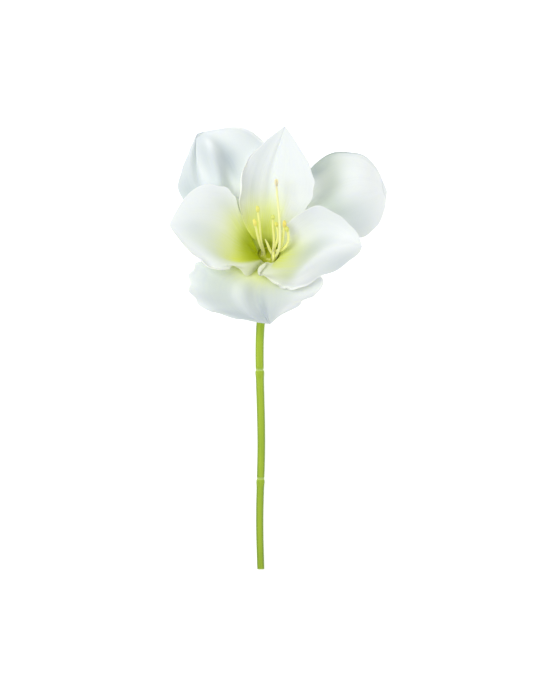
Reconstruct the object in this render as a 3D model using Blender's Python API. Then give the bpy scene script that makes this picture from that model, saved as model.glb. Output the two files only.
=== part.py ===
"""Amaryllis stem: one cut bloom with six tepals, lying on a table and facing up.

+Z is up from the table and +Y runs from the cut end of the stem to the top of the bloom. The
origin is on the table, under the middle of the whole flower. Lengths below are in millimetres
and angles in degrees, and every mesh is made in metres.
"""

import math
from dataclasses import dataclass, field

import bpy
import numpy as np

MM = 0.001
TABLE = 0.0

# The point on the table that every place below is measured from, seen from the flower's middle.
BLOOM_PLACE = (-12.5, 86.4)

# The short tube that the six tepals spring from: the middle of its rim, and its lean to +Y.
THROAT = np.array([2.7, 0.0, 34.0])
BLOOM_LEAN = 30.0
TUBE_RADIUS = 9.5
TUBE_WALL = 1.0
THROAT_DEPTH = 6.0
SEAT_GAP = 0.3

# The base below the tube, as (radius, depth below the rim): neck, ovary and foot.
NECK = (5.4, 12.5)
OVARY = (6.3, 18.0)
FOOT = (4.3, 24.0)
BASE_SIDES = 24
BASE_RINGS = 9

# Each tepal is a thin blade on the outside of the tube. Outer ones leave it lower down.
TEPAL_THICKNESS = 1.0
CLAW_DEPTH = 6.0
CLAW_SECTOR = 25.0
CLAW_POINTS = 3
INNER_CLAW_TOP = 0.5
OUTER_CLAW_TOP = -1.5
TEPAL_ROWS = 20
TEPAL_COLUMNS = 13
TIP_CROWDING = 1.5

# The stem's middle line after the base, as (right, up, above the table), and its thickness.
STEM_LINE = [
    (0.4, -26, 3.4),
    (-5.2, -64, 2.8),
    (-5.9, -104, 2.8),
    (-4.5, -175, 2.8),
    (-5.9, -240, 2.4),
    (-4.9, -286.2, 2.4),
]
STEM_RADIUS_AT_BLOOM = 3.9
STEM_RADIUS_AT_CUT = 3.2
STEM_STEP = 7.0
STEM_SIDES = 12
JOINT_RINGS = (-104.4, -203.4)
RING_PINCH = 0.35
RING_SWELL = 0.4
RING_REACH = 3.0

# Stamens stand on a small disc in the throat, and the pistil goes down through a hole in it.
DISC_TOP = -3.4
FILAMENT_RADIUS = 1.1
ANTHER_RADIUS = 1.7
ANTHER_LENGTH = 7.5
STYLE_RADIUS = 1.0
STIGMA_RADIUS = 1.8
STIGMA_LENGTH = 6.5
HOLE_RADIUS = 1.25
FILAMENT_SIDES = 6
FILAMENT_STEPS = 9

PETAL_WHITE = (0.88, 0.91, 0.86)
STEM_GREEN = (0.30, 0.50, 0.06)
THROAT_GREEN = (0.45, 0.55, 0.10)
FILAMENT_YELLOW = (0.85, 0.82, 0.30)
STYLE_YELLOW = (0.85, 0.80, 0.40)


@dataclass
class Fold:
    """A lengthwise ridge in a tepal, or a valley where its height is below 0.

    across is -1 at the left margin, 0 at the midrib and 1 at the right margin. start and end
    are shares of the tepal's length.
    """

    across: float
    width: float
    height: float
    start: float = 0.1
    end: float = 1.0


@dataclass
class Tepal:
    """One tepal: its place round the tube, and the lines that its surface runs through.

    lines maps a place across the tepal, -1 at the left margin to 1 at the right, to points
    (right, up, above the table). Left is seen from above, looking from the claw to the tip.
    """

    name: str
    angle: float
    claw_top: float
    lines: dict
    tip: tuple
    folds: list = field(default_factory=list)


TEPALS = (
    Tepal(
        name="tepal_inner_top",
        angle=90,
        claw_top=INNER_CLAW_TOP,
        lines={
            -1: [(-9, 12.6, 41), (-20.7, 33, 50), (-22.7, 58, 54), (-16.5, 81, 51), (-4.5, 100, 45)],
            0: [(0, 15.3, 36), (1, 37, 38), (3.6, 59.5, 40), (8, 82, 42), (12.6, 99, 42)],
            1: [(14.4, 12.6, 35), (32, 34, 43), (43, 56, 51), (39.6, 77.5, 51), (29.7, 97, 46)],
        },
        tip=(17.1, 113.4, 39),
        folds=[Fold(across=0, width=0.12, height=-1.6, start=0.3)],
    ),
    Tepal(
        name="tepal_inner_left",
        angle=210,
        claw_top=INNER_CLAW_TOP,
        lines={
            -1: [(-14.4, -18.5, 46), (-23.5, -12, 52), (-41, -12.6, 61), (-60, -4.5, 66), (-77, 12, 67)],
            -0.5: [(-9, -6, 48), (-23, -8, 54), (-42, -3, 60), (-61, 8, 62), (-79, 18.5, 64)],
            0: [(-12.6, 2.7, 42), (-25, 9, 45), (-40, 19, 50), (-60, 25, 57), (-77, 27, 62)],
            1: [(-11.7, 11.7, 38), (-21, 32, 44), (-29, 53, 50), (-48.6, 62, 54), (-73, 50, 58)],
        },
        tip=(-85.5, 25, 64),
    ),
    Tepal(
        name="tepal_inner_right",
        angle=330,
        claw_top=INNER_CLAW_TOP,
        lines={
            -1: [(11.7, 10.8, 41), (22.5, 30, 51), (41.4, 42, 56), (64, 35.5, 58), (81, 19.5, 59)],
            0: [(15.5, 0.5, 38), (30.6, 5, 43), (46.8, 11.6, 50), (63, 12.6, 56), (75.6, 10, 59)],
            0.6: [(4, -11.2, 45), (14.5, -16.5, 52), (31, -15.5, 57), (50.5, -3, 60), (71, 4.5, 61)],
            1: [(-4, -12, 46), (5.4, -23.5, 48), (22, -31, 50), (53, -19, 52), (80, -3, 57)],
        },
        tip=(86, 7, 61),
    ),
    Tepal(
        name="tepal_outer_lower",
        angle=270,
        claw_top=OUTER_CLAW_TOP,
        lines={
            -1: [(11, -12, 38), (29, -11, 41), (49, -20, 44), (41.4, -38, 43), (20, -50.5, 39)],
            0: [(0, -12.5, 39), (-2.7, -22.5, 42.5), (-7, -34, 47), (-5.4, -46, 47), (-1, -56, 42)],
            1: [(-9, -8, 38.5), (-36, -3, 43), (-66, -13, 47), (-64, -43, 43), (-31, -58.5, 38)],
        },
        tip=(3.6, -63, 36),
        folds=[
            Fold(across=0.33, width=0.12, height=3.0, start=0.3),
            Fold(across=0.15, width=0.12, height=-4.0, start=0.3),
            Fold(across=-0.2, width=0.12, height=-2.5, start=0.5),
        ],
    ),
    Tepal(
        name="tepal_outer_upper_left",
        angle=150,
        claw_top=OUTER_CLAW_TOP,
        lines={
            -1: [(-17, 6.3, 33), (-44, 20, 34), (-71, 43, 30), (-79, 67, 22), (-72, 90, 12)],
            0: [(-13.5, 14.4, 32), (-23.4, 36, 33), (-34, 61, 36), (-47, 84.6, 32), (-57, 101, 17)],
            1: [(-5.4, 20, 30), (-3.6, 41, 29), (1, 67, 29), (-7, 100, 26), (-34, 112.5, 17)],
        },
        tip=(-62, 110, -8),
        folds=[
            Fold(across=0.04, width=0.12, height=3.0, start=0.35),
            Fold(across=0.3, width=0.14, height=-6.5, start=0.35),
            Fold(across=-0.5, width=0.12, height=-4.0, start=0.45),
        ],
    ),
    Tepal(
        name="tepal_outer_upper_right",
        angle=30,
        claw_top=OUTER_CLAW_TOP,
        lines={
            -1: [(10, 20, 30), (21.6, 45, 31), (37.8, 74, 28), (66, 92, 22), (94, 84, 12)],
            0: [(16.5, 12.6, 31), (36, 28, 34), (58.5, 44, 36), (79, 55, 30), (97, 58.5, 16)],
            1: [(20.5, 4, 34), (47, 10, 37), (71, 12.6, 33), (92, 20.7, 24), (104.4, 38, 13)],
        },
        tip=(110.2, 58.5, -8),
        folds=[Fold(across=-0.45, width=0.35, height=-5.0, start=0.15, end=0.7)],
    ),
)

# Each stamen's line: its root in the disc, a second point near the tube's rim, both as (right,
# up, along the bloom's axis) from the throat, and then places measured like the tepals'.
STAMENS = (
    (((-5.4, 3.2, -4.5), (-5.8, 3.6, 1)), [(-5.2, 8.5, 40), (-8, 18.5, 48), (-10.8, 31, 56)]),
    (((-4.6, 2.2, -4.5), (-4.9, 3.2, 1)), [(-3.9, 9, 39), (-5.6, 23.4, 49), (-7.8, 43, 60)]),
    (((2.7, -1.1, -4.5), (3.4, -0.8, 1)), [(7.2, 12.6, 43), (6.3, 26, 51), (6.3, 35, 56)]),
    (((3.6, -5.2, -4.5), (3.9, -4.9, 1)), [(6.7, 1.5, 38), (10.3, 12.6, 44.5), (9, 28.8, 52)]),
    (((5.8, 0.8, -4.5), (6.0, 1.0, 2)), [(12, 4.5, 42.5), (14.8, 12, 47.5), (16.7, 30, 58)]),
    (((5.6, 3.4, -4.5), (6.2, 3.2, -1)), [(11.2, 2.8, 40), (16.4, 5.4, 44.5), (20, 13, 49.5), (18, 25, 55)]),
)
BARE_FILAMENT = (((2.7, -1.1, -4.5), (2.9, -0.4, 1)), [(3.4, 4, 38), (1.4, 9, 42), (-0.9, 13.5, 45)])
STYLE = (
    ((5.6, -3.1, -5.7), (6.1, -3.0, 1)),
    [(11, 2.5, 45), (12.6, 20, 54), (11.6, 36, 58), (10, 54, 61), (9, 66.6, 64)],
)


def bloom_axes():
    """Directions to the right and up across the bloom, and out along its axis."""
    lean = math.radians(BLOOM_LEAN)
    rightward = np.array([1.0, 0.0, 0.0])
    upward = np.array([0.0, math.cos(lean), -math.sin(lean)])
    outward = np.array([0.0, math.sin(lean), math.cos(lean)])
    return rightward, upward, outward


def from_throat(right, up, out):
    """A point measured from the middle of the tube's rim, across the bloom and along its axis."""
    rightward, upward, outward = bloom_axes()
    return THROAT + right * rightward + up * upward + out * outward


def round_throat(angle, radius, out):
    """A point at this angle round the bloom's axis and this far from it."""
    turn = math.radians(angle)
    return from_throat(radius * math.cos(turn), radius * math.sin(turn), out)


def unit(vectors):
    length = np.linalg.norm(vectors, axis=-1, keepdims=True)
    return vectors / np.maximum(length, 1e-9)


def smooth_step(x):
    x = np.clip(x, 0.0, 1.0)
    return x * x * (3 - 2 * x)


def spline(knots, values, at):
    """Values of the natural cubic spline through values, which it meets at knots."""
    knots = np.asarray(knots, float)
    values = np.asarray(values, float)
    gaps = np.diff(knots)
    slopes = np.diff(values, axis=0) / gaps[:, None]
    system = np.eye(len(knots))
    bends = np.zeros_like(values)
    for i in range(1, len(knots) - 1):
        system[i, i - 1 : i + 2] = (gaps[i - 1], 2 * (gaps[i - 1] + gaps[i]), gaps[i])
        bends[i] = 6 * (slopes[i] - slopes[i - 1])
    bends = np.linalg.solve(system, bends)
    i = np.clip(np.searchsorted(knots, at, side="right") - 1, 0, len(knots) - 2)
    gap = gaps[i][:, None]
    after = (at - knots[i])[:, None]
    before = gap - after
    curve = (bends[i] * before**3 + bends[i + 1] * after**3) / (6 * gap)
    curve += (values[i] / gap - bends[i] * gap / 6) * before
    curve += (values[i + 1] / gap - bends[i + 1] * gap / 6) * after
    return curve


def arc_shares(points):
    """How far along the line through points each of them lies, from 0 to 1."""
    steps = np.linalg.norm(np.diff(points, axis=0), axis=1)
    return np.concatenate([[0.0], steps.cumsum()]) / steps.sum()


def tepal_line(tepal, across):
    """One lengthwise line of a tepal: its claw on the tube, its own points, and the tip."""
    angle = tepal.angle - across * CLAW_SECTOR
    radius = TUBE_RADIUS + SEAT_GAP + TEPAL_THICKNESS / 2
    outs = np.linspace(-CLAW_DEPTH, tepal.claw_top, CLAW_POINTS)
    claw = [round_throat(angle, radius, out) for out in outs]
    return np.array(claw + tepal.lines[across] + [tepal.tip], float)


def fold_relief(tepal, along, across):
    """How far the folds stand off the plain surface, at each row and column."""
    relief = np.zeros((len(along), len(across)))
    for fold in tepal.folds:
        fade = (fold.end - fold.start) * 0.35
        swell = smooth_step((along - fold.start) / fade) * smooth_step((fold.end + 0.05 - along) / fade)
        ridge = np.exp(-(((across - fold.across) / fold.width) ** 2))
        relief += fold.height * swell[:, None] * ridge[None, :]
    return relief


def upper_normals(grid):
    """Unit normals of a grid of points, on the side that faces away from the table."""
    normals = np.cross(np.gradient(grid, axis=1), np.gradient(grid, axis=0))
    normals[-1] = normals[-2, normals.shape[1] // 2]
    return unit(normals)


def tepal_surface(tepal, along, across):
    """Points half way through the tepal's thickness, in rows from the claw to the tip."""
    places = sorted(tepal.lines)
    lines = [tepal_line(tepal, place) for place in places]
    shares = arc_shares(lines[places.index(0)])
    curves = np.array([spline(shares, line, along) for line in lines])
    rows = spline(places, curves.reshape(len(places), -1), across)
    grid = rows.reshape(len(across), len(along), 3).swapaxes(0, 1)
    relief = fold_relief(tepal, along, across)
    return grid + upper_normals(grid) * relief[:, :, None]


def blade_faces(rows, columns):
    """Faces of a closed blade, split alike above and below.

    Its points are the rows of the upper side and the tip, and then the same of the lower side.
    """
    tip = rows * columns
    upper = []
    for row in range(rows - 1):
        for column in range(columns - 1):
            corner = row * columns + column
            upper.append((corner, corner + 1, corner + columns + 1))
            upper.append((corner, corner + columns + 1, corner + columns))
    last = tip - columns
    upper += [(last + column, last + column + 1, tip) for column in range(columns - 1)]
    lower = [(a + tip + 1, c + tip + 1, b + tip + 1) for a, b, c in upper]
    edge = list(range(columns))
    edge += [row * columns + columns - 1 for row in range(1, rows)]
    edge += [tip]
    edge += [row * columns for row in range(rows - 1, 0, -1)]
    rim = []
    for a, b in zip(edge, edge[1:] + edge[:1]):
        rim.append((a + tip + 1, b + tip + 1, b, a))
    return upper + lower + rim


def tepal_blade(tepal):
    """The tepal as a closed blade. A tip that meets the table lies flat on it."""
    along = 1 - (1 - np.linspace(0, 1, TEPAL_ROWS + 1)) ** TIP_CROWDING
    across = np.linspace(-1, 1, TEPAL_COLUMNS)
    middle = tepal_surface(tepal, along, across)
    half = upper_normals(middle) * TEPAL_THICKNESS / 2
    points = []
    for side, lowest in ((middle + half, TABLE + TEPAL_THICKNESS), (middle - half, TABLE)):
        side[..., 2] = np.maximum(side[..., 2], lowest)
        points += [side[:-1].reshape(-1, 3), side[-1, :1]]
    return np.concatenate(points), blade_faces(TEPAL_ROWS, TEPAL_COLUMNS)


def bar(path, radii, sides):
    """A closed round bar along the path, with this radius at each of its points."""
    tangents = unit(np.gradient(path, axis=0))
    side = unit(np.cross(tangents[0], [0.2, 0.1, 1.0]))
    turns = 2 * math.pi * (np.arange(sides) + 0.5) / sides
    points = []
    for centre, tangent, radius in zip(path, tangents, radii):
        side = unit(side - tangent * np.dot(side, tangent))
        over = np.cross(tangent, side)
        points += [centre + radius * (math.cos(t) * side + math.sin(t) * over) for t in turns]
    faces = [tuple(reversed(range(sides)))]
    for ring in range(0, (len(path) - 1) * sides, sides):
        for a in range(sides):
            b = (a + 1) % sides
            faces.append((ring + a, ring + b, ring + b + sides, ring + a + sides))
    faces.append(tuple(len(points) - sides + a for a in range(sides)))
    return np.array(points), faces


def turned(profile, sides):
    """A solid turned round the bloom's axis from a run of (radius, out) points, up one side."""
    points = []
    rings = []
    for radius, out in profile:
        count = sides if radius > 0 else 1
        rings.append([len(points) + a for a in range(count)])
        points += [round_throat(360 * a / count, radius, out) for a in range(count)]
    faces = []
    for ring, after in zip(rings, rings[1:]):
        for a in range(sides):
            b = (a + 1) % sides
            corners = [ring[a % len(ring)], ring[b % len(ring)]]
            corners += [after[b % len(after)], after[a % len(after)]]
            faces.append(tuple(dict.fromkeys(corners)))
    return np.array(points), faces


def material(name, colour, roughness):
    made = bpy.data.materials.new(name)
    made.use_nodes = True
    shader = made.node_tree.nodes["Principled BSDF"]
    shader.inputs["Base Color"].default_value = (*colour, 1.0)
    shader.inputs["Roughness"].default_value = roughness
    shader.inputs["Metallic"].default_value = 0.0
    return made


def add_object(name, shape, parent=None, finish=None):
    """A mesh object from points in millimetres and faces."""
    points, faces = shape
    mesh = bpy.data.meshes.new(name)
    mesh.from_pydata((np.asarray(points) * MM).tolist(), [], faces)
    mesh.shade_smooth()
    if finish:
        mesh.materials.append(finish)
    obj = bpy.data.objects.new(name, mesh)
    obj.parent = parent
    bpy.context.scene.collection.objects.link(obj)
    return obj


def combine(obj, others, operation):
    """Apply one Boolean of obj with the other objects, which are then removed."""
    helpers = bpy.data.collections.new("helpers")
    bpy.context.scene.collection.children.link(helpers)
    for other in others:
        helpers.objects.link(other)
    modifier = obj.modifiers.new(operation, "BOOLEAN")
    modifier.operation = operation
    modifier.operand_type = "COLLECTION"
    modifier.collection = helpers
    modifier.solver = "EXACT"
    seen = obj.evaluated_get(bpy.context.evaluated_depsgraph_get())
    mesh = bpy.data.meshes.new_from_object(seen)
    obj.modifiers.clear()
    obj.data = mesh
    for other in others:
        bpy.data.objects.remove(other)
    bpy.data.collections.remove(helpers)


def base_profile():
    """The base's outline: up its outside from the foot, over the rim and down to the floor."""
    inner = TUBE_RADIUS - TUBE_WALL
    ledge_radius = TUBE_RADIUS + SEAT_GAP + TEPAL_THICKNESS
    ledge_depth = CLAW_DEPTH + SEAT_GAP
    shape = np.array([FOOT, OVARY, NECK, (ledge_radius, ledge_depth)])
    depths = np.linspace(FOOT[1], ledge_depth, BASE_RINGS)
    radii = spline(-shape[:, 1], shape[:, :1], -depths)[:, 0]
    outside = [(radius, -depth) for radius, depth in zip(radii, depths)]
    tube = [(TUBE_RADIUS, -ledge_depth), (TUBE_RADIUS, 0), (inner, 0), (inner, -THROAT_DEPTH)]
    return [(0, -FOOT[1])] + outside + tube + [(0, -THROAT_DEPTH)]


def stem_bar():
    """The stem, from under the ovary down to the table and along it to the cut end."""
    top = [from_throat(0, 0, -FOOT[1] - SEAT_GAP - reach) for reach in (0, 4)]
    knots = np.array(top + STEM_LINE, float)
    length = np.linalg.norm(np.diff(knots, axis=0), axis=1).sum()
    at = list(np.linspace(0, 1, round(length / STEM_STEP))) + [1 / length]
    line = spline(arc_shares(knots), knots, np.array(at))
    for ring in JOINT_RINGS:
        middle = at[np.argmin(abs(line[:, 1] - ring))]
        at += [middle + RING_REACH * step / length for step in (-1, -0.5, -0.25, 0.25, 0.5, 1)]
    at = np.unique(np.round(at, 5))
    path = spline(arc_shares(knots), knots, at)
    radii = STEM_RADIUS_AT_BLOOM + (STEM_RADIUS_AT_CUT - STEM_RADIUS_AT_BLOOM) * at
    for ring in JOINT_RINGS:
        away = (path[:, 1] - ring) / RING_REACH
        radii += RING_SWELL * np.exp(-((away + 1) ** 2)) - RING_PINCH * np.exp(-((3 * away) ** 2))
    path[:, 2] = np.maximum(path[:, 2], TABLE + radii)
    return bar(path, radii, STEM_SIDES)


def standing_bar(line, radius, head_radius, head_length):
    """A filament or style whose last stretch swells into a head."""
    roots, places = line
    knots = np.array([from_throat(*root) for root in roots] + places, float)
    length = np.linalg.norm(np.diff(knots, axis=0), axis=1).sum()
    neck = 1 - head_length / length
    at = np.concatenate([np.linspace(0, neck, FILAMENT_STEPS), np.linspace(neck, 1, 6)[1:]])
    swell = np.sin(math.pi * 0.86 * np.clip((at - neck) / (1 - neck), 0, 1))
    radii = radius + (head_radius - radius) * swell
    return bar(spline(arc_shares(knots), knots, at), radii, FILAMENT_SIDES)


def add_stamens(parent):
    """Six stamens and one bare filament, fused to the disc that they stand on."""
    radius = TUBE_RADIUS - TUBE_WALL - SEAT_GAP
    foot = -THROAT_DEPTH + SEAT_GAP
    disc = [(0, foot), (radius, foot), (radius, DISC_TOP), (0, DISC_TOP)]
    finish = material("filament", FILAMENT_YELLOW, 0.5)
    stamens = add_object("stamens", turned(disc, BASE_SIDES), parent, finish)
    bars = [standing_bar(line, FILAMENT_RADIUS, ANTHER_RADIUS, ANTHER_LENGTH) for line in STAMENS]
    bars.append(standing_bar(BARE_FILAMENT, FILAMENT_RADIUS, FILAMENT_RADIUS, 1))
    combine(stamens, [add_object("filament", shape, parent) for shape in bars], "UNION")
    root, after = (from_throat(*place) for place in STYLE[0])
    hole = bar(np.array([2 * root - after, after]), [HOLE_RADIUS] * 2, FILAMENT_SIDES)
    combine(stamens, [add_object("hole", hole, parent)], "DIFFERENCE")


def build():
    for obj in list(bpy.data.objects):
        bpy.data.objects.remove(obj)
    bloom = bpy.data.objects.new("bloom", None)
    bpy.context.scene.collection.objects.link(bloom)
    bloom.location = (BLOOM_PLACE[0] * MM, BLOOM_PLACE[1] * MM, 0)

    add_object("stem", stem_bar(), bloom, material("stem", STEM_GREEN, 0.5))
    base = turned(base_profile(), BASE_SIDES)
    add_object("flower_base", base, bloom, material("flower_base", THROAT_GREEN, 0.5))
    for tepal in TEPALS:
        add_object(tepal.name, tepal_blade(tepal), bloom, material(tepal.name, PETAL_WHITE, 0.45))
    add_stamens(bloom)
    style = standing_bar(STYLE, STYLE_RADIUS, STIGMA_RADIUS, STIGMA_LENGTH)
    add_object("pistil", style, bloom, material("pistil", STYLE_YELLOW, 0.5))


build()
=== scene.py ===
"""Amaryllis stem: the looks of one cut white bloom that lies on its stem and faces up.

Lengths in the tables are in millimetres and angles in degrees. The sizes and colours that a
user would change are in metres and linear colour, in the settings that the panel shows.
"""

import math
from dataclasses import dataclass, field

import bpy
import numpy as np
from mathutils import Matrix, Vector
from bpy.props import FloatProperty, FloatVectorProperty, IntProperty, PointerProperty


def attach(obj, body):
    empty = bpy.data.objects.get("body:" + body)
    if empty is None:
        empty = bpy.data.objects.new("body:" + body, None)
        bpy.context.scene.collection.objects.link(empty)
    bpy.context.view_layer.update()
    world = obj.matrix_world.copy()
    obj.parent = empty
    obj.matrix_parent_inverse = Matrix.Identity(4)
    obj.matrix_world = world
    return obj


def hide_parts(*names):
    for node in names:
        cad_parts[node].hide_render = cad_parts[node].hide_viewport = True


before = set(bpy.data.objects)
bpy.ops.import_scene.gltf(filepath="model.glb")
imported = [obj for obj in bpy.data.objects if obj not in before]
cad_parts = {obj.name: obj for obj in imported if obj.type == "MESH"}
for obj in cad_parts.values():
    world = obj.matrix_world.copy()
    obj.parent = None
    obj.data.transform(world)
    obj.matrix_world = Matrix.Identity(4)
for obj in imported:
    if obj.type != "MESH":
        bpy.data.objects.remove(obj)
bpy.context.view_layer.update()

bl_info = {
    "name": "Amaryllis Stem",
    "version": (1, 0, 0),
    "blender": (4, 5, 0),
    "location": "3D View > Sidebar > Amaryllis",
    "description": "Dresses a cut amaryllis stem with one open white bloom",
    "category": "Add Mesh",
}

MM = 0.001

# The point on the table that every place below is measured from, seen from the flower's middle.
BLOOM_PLACE = np.array([-12.5, 86.4, 0.0])

# The short tube that the six tepals spring from: the middle of its mouth, and its lean to +Y.
# Its rim is a little below the mouth.
THROAT = np.array([2.7, 0.0, 34.0])
BLOOM_LEAN = 30.0
TUBE_RADIUS = 9.5
TUBE_WALL = 1.0
THROAT_DEPTH = 6.0
RIM_DEPTH = 2.0
SEAT_GAP = 0.3

# The middle of the yellow-green glow, a little to the left of the throat.
GLOW_HEART = np.array([-3.0, 2.0, 36.0])
GLOW_FADE = 7.0
# How softly the claws' deep green fades; that green is partly the tissue's own and partly painted shade deep
# in the throat.
CLAW_FADE = 3.5

# The base below the tube, as (radius, depth below the mouth): neck, ovary and foot.
NECK = (5.4, 12.5)
OVARY = (6.3, 18.0)
FOOT = (4.3, 24.0)
BASE_SIDES = 96
BASE_RINGS = 40
OVARY_LOBES = 3
LOBE_SWELL = 0.05

# Each tepal is a thin blade on the outside of the tube: three inner ones, and three outer
# ones round them that leave the tube lower down.
BLADE_SEAT = 0.5
WHORL_STEP = 1.3
CLAW_DEPTH = 6.0
CLAW_SECTOR = 32.0
CLAW_POINTS = 3
INNER_CLAW_TOP = 0.5
OUTER_CLAW_TOP = -1.5
TEPAL_ROWS = 110
TEPAL_COLUMNS = 97
CURL_COLUMNS = 8
TIP_CROWDING = 1.4

# The keel under each midrib, the zone beside a margin that can be pale, and the fine veins.
KEEL_HEIGHT = 0.5
KEEL_WIDTH = 0.05
PALE_START = 0.42
PALE_SOFT = 0.16
VEINS = 13.0
VEIN_WAVINESS = 0.35

# The stem's middle line after the base, as (right, up, above the table).
STEM_LINE = [
    (0.4, -26, 3.4),
    (-5.2, -64, 2.8),
    (-5.9, -104, 2.8),
    (-4.5, -175, 2.8),
    (-5.9, -240, 2.4),
    (-4.9, -286.2, 2.4),
]
STEM_STEP = 1.0
JOINT_RINGS = (-104.4, -203.4)
RING_REACH = 3.0

# Where the stem's colours turn into each other, in metres: up from the table, where painted shade
# darkens its sides, away from the middle of a ring, and away from the cut face.
SIDE_SHADE_FADE = (0.0045, 0.007)
RING_FADE = (0.0004, 0.0016)
CUT_FADE = (0.0001, 0.0009)

# The disc in the throat that the stamens stand on, how much of a filament's rise its anther
# keeps, and the stigma.
DISC_TOP = -3.4
ANTHER_RISE = 0.4
STIGMA_LENGTH = 6.5
STIGMA_LOBES = 3

# The stage in metres: the floor, the two lamps, the point that they face, and the camera, whose
# lens and sensor are in millimetres. The sky is the colour of the white room.
FLOOR_REACH = 6.0
FLOOR_HEIGHT = -0.0002
KEY_PLACE = (-0.8, 0.35, 1.3)
FILL_PLACE = (0.9, -0.1, 0.8)
LAMP_AIM = (0.0, 0.13, 0.04)
CAMERA_PLACE = (0.0001, 0.0, 3.545)
CAMERA_LENS = 200.0
CAMERA_SENSOR = 36.0
CAMERA_REACH = 20.0
SKY_COLOUR = (0.97, 0.98, 1.0, 1.0)


@dataclass
class Fold:
    """A lengthwise ridge in a tepal, or a valley where its height is below 0.

    across is -1 at the left margin, 0 at the midrib and 1 at the right margin, and is taken at
    half the tepal's length; drift is how much it grows from the claw to the tip. start and end
    are shares of the tepal's length.
    """

    across: float
    width: float
    height: float
    start: float = 0.1
    end: float = 1.0
    drift: float = 0.0


@dataclass
class Curl:
    """A margin that rolls over, up where turn is above 0 and down where it is below.

    side is -1 for the left margin and 1 for the right one.
    """

    side: int
    width: float
    turn: float
    start: float
    end: float


@dataclass
class PaintedShadePatch:
    """A soft patch of painted shade on a tepal, greyer or greener than the rest, or of painted light
    where it is less so below 0. Its green also paints the olive tint of shade, and a little of it
    is the tissue's uneven tone.

    across and along are its middle, and wide and long are its half sizes, as shares.
    """

    across: float
    along: float
    wide: float
    long: float
    grey: float = 0.0
    green: float = 0.0


@dataclass
class Tepal:
    """One tepal: its place round the tube, and the lines that its surface runs through.

    lines maps a place across the tepal, -1 at the left margin to 1 at the right, to points
    (right, up, above the table). Left is seen from above, looking from the claw to the tip.
    glow and claw are how far from the throat its yellow green and its deep green have faded by
    half; the deep green is partly the tissue's own and partly painted shade in the throat. Its
    greyness is painted shade: how far its white goes towards the shaded greyish colour, more on the
    tepals that lie in more shade, with a little greyer tissue tone. pale is how much of its green
    is missing along its left and its right margin. waves are the height and the number of the
    waves along those margins.
    """

    name: str
    angle: float
    lines: dict
    tip: tuple
    glow: float
    claw: float
    grey: float
    outer: bool = False
    pale: tuple = (0.0, 0.0)
    waves: tuple = ((0.8, 4.0), (0.8, 4.0))
    folds: list = field(default_factory=list)
    curls: list = field(default_factory=list)
    shade_patches: list = field(default_factory=list)


# Each tepal's greyness and its patches are painted shade and painted light: the tepals that lie in more shade
# are greyer, and the patches paint cast shadows, shaded creases and rims, and lit spots, with a little uneven
# tissue tone.
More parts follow.
